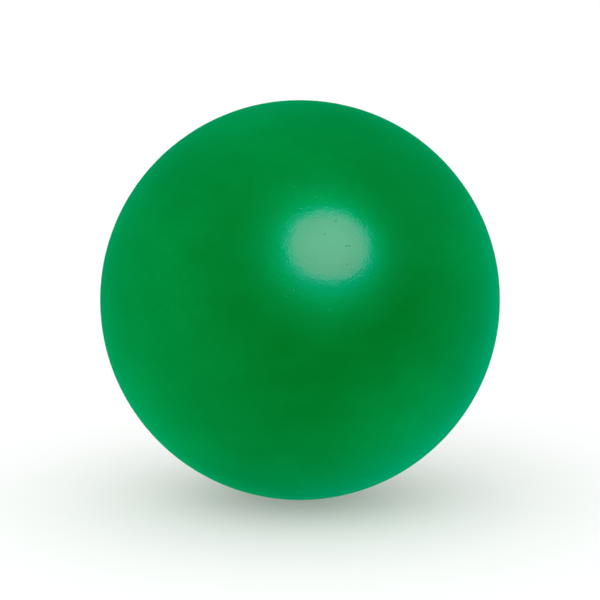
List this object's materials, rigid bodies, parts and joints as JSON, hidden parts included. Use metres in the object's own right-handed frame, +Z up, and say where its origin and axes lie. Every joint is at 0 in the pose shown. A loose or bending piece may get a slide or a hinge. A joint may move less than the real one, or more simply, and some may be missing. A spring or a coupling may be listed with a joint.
{
  "type": "juggling ball",
  "caption": "Smooth seamless soft vinyl juggling ball, part filled with loose millet that shifts inside, closed by a flush push-in filler plug.",
  "frame": {"origin": "centre of the ball", "axes": "+Z up as the ball rests, with the millet lying level; +Y to the back, the side that the filler plug is on, 30 degrees above the horizon; +X to the right as seen from the front"},
  "size_m": [0.07, 0.07, 0.07],
  "materials": {
    "shell_vinyl": "satin",
    "plug_vinyl": "satin",
    "millet": "matte"
  },
  "bodies": {
    "ball": {"shell": "shell_vinyl"},
    "plug": {"filler_plug": "plug_vinyl"},
    "millet": {"millet_fill": "millet"}
  },
  "joints": [
    {"name": "fill_roll", "type": "hinge", "parent": "ball", "child": "millet", "pos_m": [0, 0, 0], "axis": [1, 0, 0], "continuous": true},
    {"name": "plug_pull", "type": "slide", "parent": "ball", "child": "plug", "axis": [0, 0.866, 0.5], "range_m": [0, 0.02]}
  ]
}
